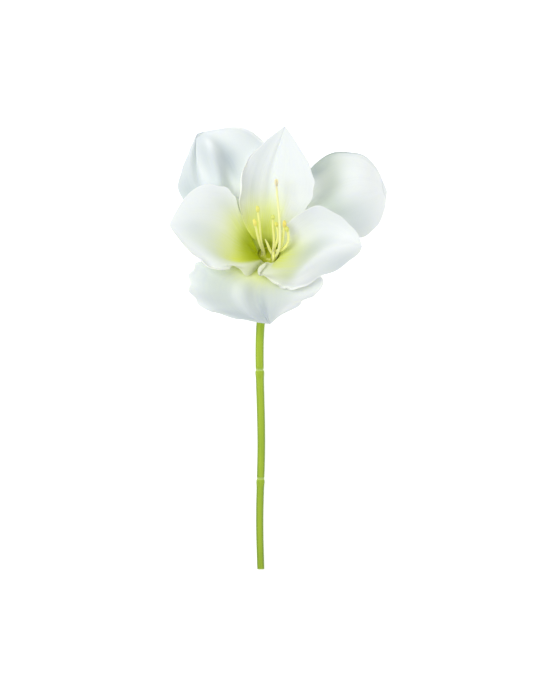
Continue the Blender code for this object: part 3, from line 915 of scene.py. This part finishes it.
def new_tree(name, kind, inputs, outputs):
    """An empty node group with these sockets, and its input and output nodes."""
    tree = bpy.data.node_groups.new(name, kind)
    for label, socket, default in inputs:
        made = tree.interface.new_socket(label, in_out="INPUT", socket_type=socket)
        if default is not None:
            made.default_value = default
    for label, socket in outputs:
        tree.interface.new_socket(label, in_out="OUTPUT", socket_type=socket)
    return tree, tree.nodes.new("NodeGroupInput"), tree.nodes.new("NodeGroupOutput")


def finish_tree(tree, start, end, geometry):
    """The last nodes of a geometry tree: real geometry in its material."""
    real = add_node(tree, "GeometryNodeRealizeInstances", {"Geometry": geometry})
    painted = {"Geometry": real.outputs["Geometry"], "Material": start.outputs["Material"]}
    finished = add_node(tree, "GeometryNodeSetMaterial", painted)
    tree.links.new(finished.outputs["Geometry"], end.inputs["Geometry"])


def stalk_tree():
    """Geometry nodes that sweep a round section along every line of a mesh."""
    name = "Swept stalk"
    if name in bpy.data.node_groups:
        return bpy.data.node_groups[name]
    inputs = [
        ("Geometry", "NodeSocketGeometry", None),
        ("Sides", "NodeSocketInt", 16),
        ("Material", "NodeSocketMaterial", None),
    ]
    tree, start, end = new_tree(name, "GeometryNodeTree", inputs, [("Geometry", "NodeSocketGeometry")])
    line = add_node(tree, "GeometryNodeMeshToCurve", {"Mesh": start.outputs["Geometry"]})
    section = add_node(
        tree, "GeometryNodeCurvePrimitiveCircle", {"Resolution": start.outputs["Sides"], "Radius": 1.0}
    )
    thickness = add_node(tree, "GeometryNodeInputNamedAttribute", {"Name": "thickness"}, data_type="FLOAT")
    sweep = {
        "Curve": line.outputs["Curve"],
        "Profile Curve": section.outputs["Curve"],
        "Scale": thickness.outputs["Attribute"],
        "Fill Caps": True,
    }
    stalk = add_node(tree, "GeometryNodeCurveToMesh", sweep)
    smooth = add_node(tree, "GeometryNodeSetShadeSmooth", {"Geometry": stalk.outputs["Mesh"]})
    finish_tree(tree, start, end, smooth.outputs["Geometry"])
    return tree


def pollen_tree():
    """Geometry nodes that scatter small grains over a surface and keep the surface."""
    inputs = [
        ("Geometry", "NodeSocketGeometry", None),
        ("Grain radius", "NodeSocketFloat", 0.0001),
        ("Density", "NodeSocketFloat", 4e6),
        ("Seed", "NodeSocketInt", 7),
        ("Material", "NodeSocketMaterial", None),
    ]
    outputs = [("Geometry", "NodeSocketGeometry")]
    tree, start, end = new_tree("Pollen", "GeometryNodeTree", inputs, outputs)
    scatter = {
        "Mesh": start.outputs["Geometry"],
        "Density": start.outputs["Density"],
        "Seed": start.outputs["Seed"],
    }
    places = add_node(tree, "GeometryNodeDistributePointsOnFaces", scatter)
    grain = add_node(
        tree, "GeometryNodeMeshIcoSphere", {"Radius": start.outputs["Grain radius"], "Subdivisions": 1}
    )
    grains = {"Points": places.outputs["Points"], "Instance": grain.outputs["Mesh"]}
    placed = add_node(tree, "GeometryNodeInstanceOnPoints", grains)
    both = tree.nodes.new("GeometryNodeJoinGeometry")
    tree.links.new(placed.outputs["Instances"], both.inputs[0])
    tree.links.new(start.outputs["Geometry"], both.inputs[0])
    finish_tree(tree, start, end, both.outputs["Geometry"])
    return tree


# Shader groups

def vein_group():
    """Fine lengthwise veins on a surface whose place is given as (across, along)."""
    name = "Lengthwise veins"
    if name in bpy.data.node_groups:
        return bpy.data.node_groups[name]
    inputs = [
        ("Place", "NodeSocketVector", None),
        ("Veins", "NodeSocketFloat", 12.0),
        ("Waviness", "NodeSocketFloat", 0.3),
    ]
    tree, start, end = new_tree(name, "ShaderNodeTree", inputs, [("Height", "NodeSocketFloat")])
    place = start.outputs["Place"]
    split = add_node(tree, "ShaderNodeSeparateXYZ", {0: place})
    bend = add_node(tree, "ShaderNodeTexNoise", {"Vector": place, "Scale": 4.0, "Detail": 1.0})
    drift = calculate(tree, "MULTIPLY", bend.outputs["Fac"], start.outputs["Waviness"])
    count = calculate(tree, "MULTIPLY", split.outputs["X"], start.outputs["Veins"])
    phase = calculate(tree, "MULTIPLY", calculate(tree, "ADD", count, drift), 2 * math.pi)
    wave = calculate(tree, "MULTIPLY_ADD", calculate(tree, "COSINE", phase), 0.5, 0.5)
    threads = {"X": calculate(tree, "MULTIPLY", count, 3.0), "Y": split.outputs["Y"]}
    fine = add_node(tree, "ShaderNodeCombineXYZ", threads)
    thread = add_node(tree, "ShaderNodeTexNoise", {"Vector": fine.outputs[0], "Scale": 1.0, "Detail": 3.0})
    uneven = ramp(tree, bend.outputs["Fac"], 0.35, 0.7)
    height = calculate(tree, "MULTIPLY", calculate(tree, "MULTIPLY", wave, uneven), thread.outputs["Fac"])
    tree.links.new(height, end.inputs["Height"])
    return tree


def grain_group():
    """Fine cell grain and broad mottling of plant skin, from a place in metres."""
    name = "Plant grain"
    if name in bpy.data.node_groups:
        return bpy.data.node_groups[name]
    inputs = [
        ("Place", "NodeSocketVector", None),
        ("Cells", "NodeSocketFloat", 2500.0),
        ("Blotches", "NodeSocketFloat", 60.0),
    ]
    outputs = [("Grain", "NodeSocketFloat"), ("Mottle", "NodeSocketFloat")]
    tree, start, end = new_tree(name, "ShaderNodeTree", inputs, outputs)
    place = start.outputs["Place"]
    for size, detail, result in (("Cells", 2.0, "Grain"), ("Blotches", 3.0, "Mottle")):
        inputs = {"Vector": place, "Scale": start.outputs[size], "Detail": detail}
        noise = add_node(tree, "ShaderNodeTexNoise", inputs)
        tree.links.new(noise.outputs["Fac"], end.inputs[result])
    return tree


def plant_grain(tree, cells, blotches):
    """The fine grain and the broad mottling at each place of a piece."""
    inputs = {"Place": object_place(tree), "Cells": cells, "Blotches": blotches}
    node = add_node(tree, "ShaderNodeGroup", inputs, node_tree=grain_group())
    return node.outputs["Grain"], node.outputs["Mottle"]


def new_material(name, roughness, **constants):
    """A Principled material, its tree and its shader. Constants are set on the shader's sockets."""
    made = bpy.data.materials.new(name)
    made.use_nodes = True
    shader = made.node_tree.nodes["Principled BSDF"]
    shader.inputs["Roughness"].default_value = roughness
    for key, value in constants.items():
        shader.inputs[key.replace("_", " ")].default_value = value
    shader.inputs["Subsurface Radius"].default_value = (1.0, 1.0, 0.6)
    return made, made.node_tree, shader


def paint(tree, shader, colour, height, distance):
    """The shader's colour, and its relief: a height from 0 to 1 over this distance in metres."""
    tree.links.new(colour, shader.inputs["Base Color"])
    bump = add_node(tree, "ShaderNodeBump", {"Height": height, "Distance": distance, "Strength": 1.0})
    tree.links.new(bump.outputs["Normal"], shader.inputs["Normal"])


def object_place(tree):
    return tree.nodes.new("ShaderNodeTexCoord").outputs["Object"]


def tepal_material(settings):
    """Veined white tissue with painted light and shade; yellow green to the throat, deep green in it."""
    made, tree, shader = new_material(
        "tepal_tissue", 0.5, Subsurface_Weight=0.25, Subsurface_Scale=0.002, Specular_IOR_Level=0.12
    )
    place = add_node(tree, "ShaderNodeUVMap", uv_map="surface").outputs["UV"]
    inputs = {"Place": place, "Veins": VEINS, "Waviness": VEIN_WAVINESS}
    veins = add_node(tree, "ShaderNodeGroup", inputs, node_tree=vein_group()).outputs["Height"]
    grain, mottle = plant_grain(tree, 2600.0, 70.0)
    glow, claw, grey = (stored(tree, name) for name in ("glow", "claw", "grey"))
    uneven = calculate(tree, "ADD", around(tree, veins, 0.25, 0.35), around(tree, mottle, 0.5, 0.3))
    amount = calculate(tree, "ADD", glow, calculate(tree, "MULTIPLY", uneven, glow))
    # Painted shade: the blade turns towards the shaded greyish colour where its painted shade is high, and
    # back towards white where the patches paint light.
    blade = blend_colours(tree, grey, settings.white, settings.shade_and_grey_colour)
    blade = blend_colours(tree, calculate(tree, "MULTIPLY", veins, 0.3), blade, settings.vein)
    side = add_node(tree, "ShaderNodeSeparateXYZ", {0: place}).outputs["X"]
    thin = ramp(tree, calculate(tree, "ABSOLUTE", side), 0.96, 1.02)
    # Thin margins keep their white only where no shade is painted on them.
    thin = calculate(tree, "MULTIPLY", thin, calculate(tree, "SUBTRACT", 1.0, grey), clamp=True)
    blade = blend_colours(tree, thin, blade, settings.margin_white)
    tinted = blend_colours(tree, amount, blade, settings.glow)
    # The claw's deep green, partly painted shade deep in the throat.
    deep = blend_colours(tree, claw, tinted, settings.claw)
    tree.links.new(calculate(tree, "MULTIPLY_ADD", mottle, 0.2, 0.4), shader.inputs["Roughness"])
    paint(tree, shader, deep, calculate(tree, "MULTIPLY_ADD", grain, 0.25, veins), 0.00006)
    return made


def stem_material(settings):
    """Waxy green skin with lengthwise streaks, painted shade on its sides, pale joint rings and a pale cut
    face.
    """
    made, tree, shader = new_material(
        "stem_skin", 0.42, Subsurface_Weight=0.1, Subsurface_Scale=0.001, Specular_IOR_Level=0.15
    )
    place = object_place(tree)
    long = add_node(tree, "ShaderNodeMapping", {"Vector": place, "Scale": (1.0, 0.02, 1.0)}).outputs[0]
    threads = add_node(tree, "ShaderNodeTexNoise", {"Vector": long, "Scale": 1100.0, "Detail": 3.0})
    grain, mottle = plant_grain(tree, 2500.0, 45.0)
    split = add_node(tree, "ShaderNodeSeparateXYZ", {0: place}).outputs
    skin = settings.green
    for part, low, high, share in ((threads.outputs["Fac"], 0.45, 0.75, 0.5), (mottle, 0.4, 0.8, 0.35)):
        amount = calculate(tree, "MULTIPLY", ramp(tree, part, low, high), share)
        skin = blend_colours(tree, amount, skin, settings.streak)
    # Painted shade: the stem's sides near the table are darker than its top.
    skin = blend_colours(tree, ramp(tree, split["Z"], *SIDE_SHADE_FADE), settings.side, skin)
    for ring in JOINT_RINGS:
        middle = (ring + BLOOM_PLACE[1]) * MM
        away = calculate(tree, "ABSOLUTE", calculate(tree, "SUBTRACT", split["Y"], middle))
        pale = calculate(tree, "SUBTRACT", 1.0, ramp(tree, away, *RING_FADE))
        skin = blend_colours(tree, calculate(tree, "MULTIPLY", pale, 0.7), skin, settings.ring)
    cut = (STEM_LINE[-1][1] + BLOOM_PLACE[1]) * MM
    near_cut = ramp(tree, split["Y"], *(cut + reach for reach in CUT_FADE))
    skin = blend_colours(tree, near_cut, settings.cut, skin)
    height = calculate(tree, "MULTIPLY_ADD", grain, 0.3, threads.outputs["Fac"])
    paint(tree, shader, skin, height, 0.00015)
    return made


def base_material(settings):
    """Green skin of the ovary, which turns yellower up the tube."""
    made, tree, shader = new_material("ovary_skin", 0.45, Subsurface_Weight=0.1, Subsurface_Scale=0.001)
    grain, mottle = plant_grain(tree, 2400.0, 120.0)
    amount = calculate(tree, "ADD", stored(tree, "share"), around(tree, mottle, 0.5, 0.5))
    skin = blend_colours(tree, amount, settings.ovary, settings.tube)
    paint(tree, shader, skin, grain, 0.00006)
    return made


def filament_material(name, root, tip, start, end):
    """Smooth stalk tissue from one colour at the root to another at the tip."""
    made, tree, shader = new_material(name, 0.4, Subsurface_Weight=0.5, Subsurface_Scale=0.002)
    grain, mottle = plant_grain(tree, 3500.0, 150.0)
    amount = calculate(tree, "ADD", stored(tree, "share"), around(tree, mottle, 0.5, 0.15))
    skin = blend_colours(tree, ramp(tree, amount, start, end), root, tip)
    paint(tree, shader, skin, grain, 0.00004)
    return made


def anther_material(settings):
    """Powdery anther tissue, from green to orange as it ripens."""
    made, tree, shader = new_material("anther_pollen", 0.85)
    grain, mottle = plant_grain(tree, 5000.0, 700.0)
    amount = calculate(tree, "ADD", stored(tree, "share"), around(tree, mottle, 0.5, 0.5))
    yellow = blend_colours(tree, ramp(tree, amount, 0.0, 0.5), settings.unripe, settings.pollen)
    skin = blend_colours(tree, ramp(tree, amount, 0.5, 1.0), yellow, settings.ripe)
    paint(tree, shader, skin, grain, 0.00008)
    return made


# Stage

def add_lamp(name, side, watts, place):
    """A square lamp that faces the bloom."""
    lamp = bpy.data.lights.new(name, "AREA")
    lamp.shape = "SQUARE"
    lamp.size = side
    lamp.energy = watts
    held = make_object(name, lamp)
    held.location = place
    held.rotation_euler = (held.location - Vector(LAMP_AIM)).to_track_quat("Z", "Y").to_euler()


# Operators, one for each group of pieces

class AMARYLLIS_OT_stage(bpy.types.Operator):
    """Add the pale floor, the soft light and the camera that looks straight down"""

    bl_idname = "amaryllis.stage"
    bl_label = "Stage"

    def execute(self, context):
        scene = context.scene
        settings = scene.amaryllis_stage
        scene.view_settings.view_transform = "Standard"
        world = bpy.data.worlds.new("white_room")
        world.use_nodes = True
        sky = world.node_tree.nodes["Background"]
        sky.inputs["Color"].default_value = SKY_COLOUR
        sky.inputs["Strength"].default_value = settings.ambient
        scene.world = world

        mesh = bpy.data.meshes.new("floor")
        ways = ((-1, -1), (1, -1), (1, 1), (-1, 1))
        corners = [(x * FLOOR_REACH, y * FLOOR_REACH, FLOOR_HEIGHT) for x, y in ways]
        mesh.from_pydata(corners, [], [(0, 1, 2, 3)])
        paper, _, shader = new_material("floor_paper", 0.9)
        shader.inputs["Base Color"].default_value = (*settings.floor, 1.0)
        shader.inputs["Emission Color"].default_value = (1.0, 1.0, 1.0, 1.0)
        shader.inputs["Emission Strength"].default_value = settings.floor_glow
        make_object("floor", mesh, paper)

        add_lamp("key", settings.key_side, settings.key_watts, KEY_PLACE)
        add_lamp("fill", settings.fill_side, settings.fill_watts, FILL_PLACE)

        lens = bpy.data.cameras.new("camera")
        lens.lens = CAMERA_LENS
        lens.sensor_width = CAMERA_SENSOR
        lens.clip_end = CAMERA_REACH
        scene.camera = make_object("camera", lens)
        scene.camera.location = CAMERA_PLACE
        return {"FINISHED"}


class AMARYLLIS_OT_tepals(bpy.types.Operator):
    """Grow the six tepals as thin veined blades"""

    bl_idname = "amaryllis.tepals"
    bl_label = "Tepals"

    def execute(self, context):
        settings = context.scene.amaryllis_tepals
        finish = tepal_material(settings)
        for tepal in TEPALS:
            rings, places, along = tepal_blade(tepal, settings)
            tip = rings[-1].mean(axis=0)
            points = np.concatenate([rings[:-1].reshape(-1, 3), tip[None]])
            mesh = make_mesh("petal_" + tepal.name, points, blade_faces(TEPAL_ROWS, len(places)))
            across = np.append(np.tile(places, TEPAL_ROWS), 0.0)
            lengthwise = np.append(np.repeat(along[:-1], len(places)), 1.0)
            surface = np.stack([across, lengthwise], axis=1)
            corners = np.zeros(len(mesh.loops), np.int32)
            mesh.loops.foreach_get("vertex_index", corners)
            layer = mesh.uv_layers.new(name="surface")
            layer.data.foreach_set("uv", surface[corners].astype(np.float32).ravel())
            beyond = np.linalg.norm(points - GLOW_HEART, axis=1) - tepal.glow
            pale = np.where(across < 0, *tepal.pale) * smooth_step((np.abs(across) - PALE_START) / PALE_SOFT)
            # Painted light and shade: each tepal's greyness and the patches' painted shadows and lit spots.
            grey, green = painted_shade_tones(tepal, across, lengthwise)
            point_values(mesh, "glow", (1 - pale) / (1 + np.exp(beyond / GLOW_FADE)) + green)
            # The claw's deep green, partly painted shade deep in the throat.
            beyond = np.linalg.norm(points - THROAT, axis=1) - tepal.claw
            point_values(mesh, "claw", (1 - pale) / (1 + np.exp(beyond / CLAW_FADE)))
            point_values(mesh, "grey", tepal.grey + grey)
            piece = make_object("petal_" + tepal.name, mesh, finish)
            hand_over(piece, "tepal_" + tepal.name)
        return {"FINISHED"}


class AMARYLLIS_OT_flower_base(bpy.types.Operator):
    """Turn the ovary and the tube, with three soft lobes round the ovary"""

    bl_idname = "amaryllis.flower_base"
    bl_label = "Ovary and tube"

    def execute(self, context):
        settings = context.scene.amaryllis_base

        def lobes(angle, out):
            below = fade_between(-out, NECK[1] - 3, FOOT[1], 4.0)
            return 1 + LOBE_SWELL * below * math.cos(math.radians(OVARY_LOBES * angle))

        points, faces = turned(base_profile(), BASE_SIDES, lobes)
        mesh = make_mesh("ovary_and_tube", points, faces)
        out = (points - THROAT) @ bloom_axes()[2]
        point_values(mesh, "share", smooth_step((out + 16) / 10))
        piece = make_object("ovary_and_tube", mesh, base_material(settings))
        hand_over(piece, "flower_base")
        return {"FINISHED"}


class AMARYLLIS_OT_stem(bpy.types.Operator):
    """Sweep the stem from the ovary to its cut end, with its joint rings"""

    bl_idname = "amaryllis.stem"
    bl_label = "Stem"

    def execute(self, context):
        settings = context.scene.amaryllis_stem
        path, radii = stem_path(settings)
        line = stalks_mesh("stem_line", [(path, radii, 0.0)])
        piece = grown("scape", line, stalk_tree(), Sides=40, Material=stem_material(settings))
        hand_over(piece, "stem")
        return {"FINISHED"}


class AMARYLLIS_OT_stamens(bpy.types.Operator):
    """Grow the filaments on their disc, and the anthers with their pollen"""

    bl_idname = "amaryllis.stamens"
    bl_label = "Stamens"

    def execute(self, context):
        settings = context.scene.amaryllis_stamens
        root, tip = settings.filament_radius / MM, settings.filament_tip / MM
        stalks = []
        anthers = []
        for *line, ripe, length in STAMENS:
            path = filament_path(line)
            share = np.linspace(0, 1, len(path))
            tangent = unit((path[-1] - path[-8]) * (1, 1, ANTHER_RISE))
            centre = path[-1] - tangent * length / 2
            held = path[:-3]
            stalks.append((held, (root + (tip - root) * share**0.7)[:-3], share[:-3]))
            anthers.append((anther(centre, tangent, settings.anther_radius / MM, length), ripe))
        path = filament_path(BARE_FILAMENT)
        share = np.linspace(0, 1, len(path))
        stalks.append((path, root * (1 - 0.75 * share**4), share * 0.5))
        finish = filament_material("filament_tissue", settings.root, settings.filament, 0.0, 0.04)
        lines = stalks_mesh("filament_lines", stalks)
        piece = grown("filaments", lines, stalk_tree(), Sides=14, Material=finish)
        hand_over(piece, "stamens")

        radius = TUBE_RADIUS - TUBE_WALL - SEAT_GAP
        floor = SEAT_GAP - THROAT_DEPTH
        profile = [(0, floor), (radius, floor), (radius, DISC_TOP - 0.5)]
        profile += [(radius * share, DISC_TOP - 0.5 * share**3) for share in (0.95, 0.8, 0.6, 0.4, 0.2)]
        points, faces = turned(profile + [(0, DISC_TOP)], BASE_SIDES)
        mesh = make_mesh("stamen_disc", points, faces)
        point_values(mesh, "share", np.zeros(len(points)))
        piece = make_object("stamen_disc", mesh, finish)
        hand_over(piece, "stamens")

        points, faces, ripeness = [], [], []
        for (places, sides), ripe in anthers:
            faces += [tuple(len(points) + a for a in face) for face in sides]
            points += list(places)
            ripeness += [ripe] * len(places)
        mesh = make_mesh("anther_shapes", points, faces)
        point_values(mesh, "share", ripeness)
        values = {"Grain radius": settings.grain_radius, "Material": anther_material(settings)}
        piece = grown("anthers", mesh, pollen_tree(), **values)
        hand_over(piece, "stamens")
        return {"FINISHED"}


class AMARYLLIS_OT_pistil(bpy.types.Operator):
    """Grow the style and the three lobes of its stigma"""

    bl_idname = "amaryllis.pistil"
    bl_label = "Pistil"

    def execute(self, context):
        settings = context.scene.amaryllis_pistil
        path = filament_path(STYLE, steps=80)
        radius = settings.style_radius / MM
        share = np.linspace(0, 1, len(path))
        stalks = [(path[:-2], (radius * (1.1 - 0.35 * share))[:-2], share[:-2])]
        tangent = unit(path[-1] - path[-6])
        side = unit(np.cross(tangent, [0.3, 0.2, 1.0]))
        over = np.cross(side, tangent)
        start = path[-1] - tangent * STIGMA_LENGTH
        for lobe in range(STIGMA_LOBES):
            turn = 2 * math.pi * lobe / STIGMA_LOBES + 0.4
            away = math.cos(turn) * side + math.sin(turn) * over
            at = np.linspace(0, 1, 12)[:, None]
            curve = start + tangent * STIGMA_LENGTH * at + away * (0.2 + 0.7 * np.sin(math.pi * at * 0.75))
            thick = settings.stigma_radius / MM * (0.35 + 0.65 * np.sin(math.pi * at[:, 0]) ** 0.7)
            stalks.append((curve, thick, 1.0))
        finish = filament_material("style_tissue", settings.style, settings.stigma, 0.85, 0.93)
        lines = stalks_mesh("style_lines", stalks)
        piece = grown("style_and_stigma", lines, stalk_tree(), Sides=16, Material=finish)
        hand_over(piece, "pistil")
        return {"FINISHED"}


class AMARYLLIS_PT_panel(bpy.types.Panel):
    """The sizes and colours of the flower, and a button for each group of pieces"""

    bl_idname = "AMARYLLIS_PT_panel"
    bl_label = "Amaryllis stem"
    bl_space_type = "VIEW_3D"
    bl_region_type = "UI"
    bl_category = "Amaryllis"

    def draw(self, context):
        for operator, name in STEPS:
            box = self.layout.box()
            settings = getattr(context.scene, name)
            for key in settings.__annotations__:
                box.prop(settings, key)
            box.operator(operator.bl_idname)


STEPS = (
    (AMARYLLIS_OT_stage, "amaryllis_stage"),
    (AMARYLLIS_OT_tepals, "amaryllis_tepals"),
    (AMARYLLIS_OT_flower_base, "amaryllis_base"),
    (AMARYLLIS_OT_stem, "amaryllis_stem"),
    (AMARYLLIS_OT_stamens, "amaryllis_stamens"),
    (AMARYLLIS_OT_pistil, "amaryllis_pistil"),
)
SETTINGS = {
    "amaryllis_stage": StageSettings,
    "amaryllis_tepals": TepalSettings,
    "amaryllis_base": BaseSettings,
    "amaryllis_stem": StemSettings,
    "amaryllis_stamens": StamenSettings,
    "amaryllis_pistil": PistilSettings,
}


def register():
    for name, settings in SETTINGS.items():
        bpy.utils.register_class(settings)
        setattr(bpy.types.Scene, name, PointerProperty(type=settings))
    for operator, _ in STEPS:
        bpy.utils.register_class(operator)
    bpy.utils.register_class(AMARYLLIS_PT_panel)


def unregister():
    bpy.utils.unregister_class(AMARYLLIS_PT_panel)
    for operator, _ in STEPS:
        bpy.utils.unregister_class(operator)
    for name, settings in SETTINGS.items():
        delattr(bpy.types.Scene, name)
        bpy.utils.unregister_class(settings)


def main():
    register()
    bpy.ops.amaryllis.stage()
    bpy.ops.amaryllis.tepals()
    bpy.ops.amaryllis.flower_base()
    bpy.ops.amaryllis.stem()
    bpy.ops.amaryllis.stamens()
    bpy.ops.amaryllis.pistil()


if __name__ == "__main__":
    main()
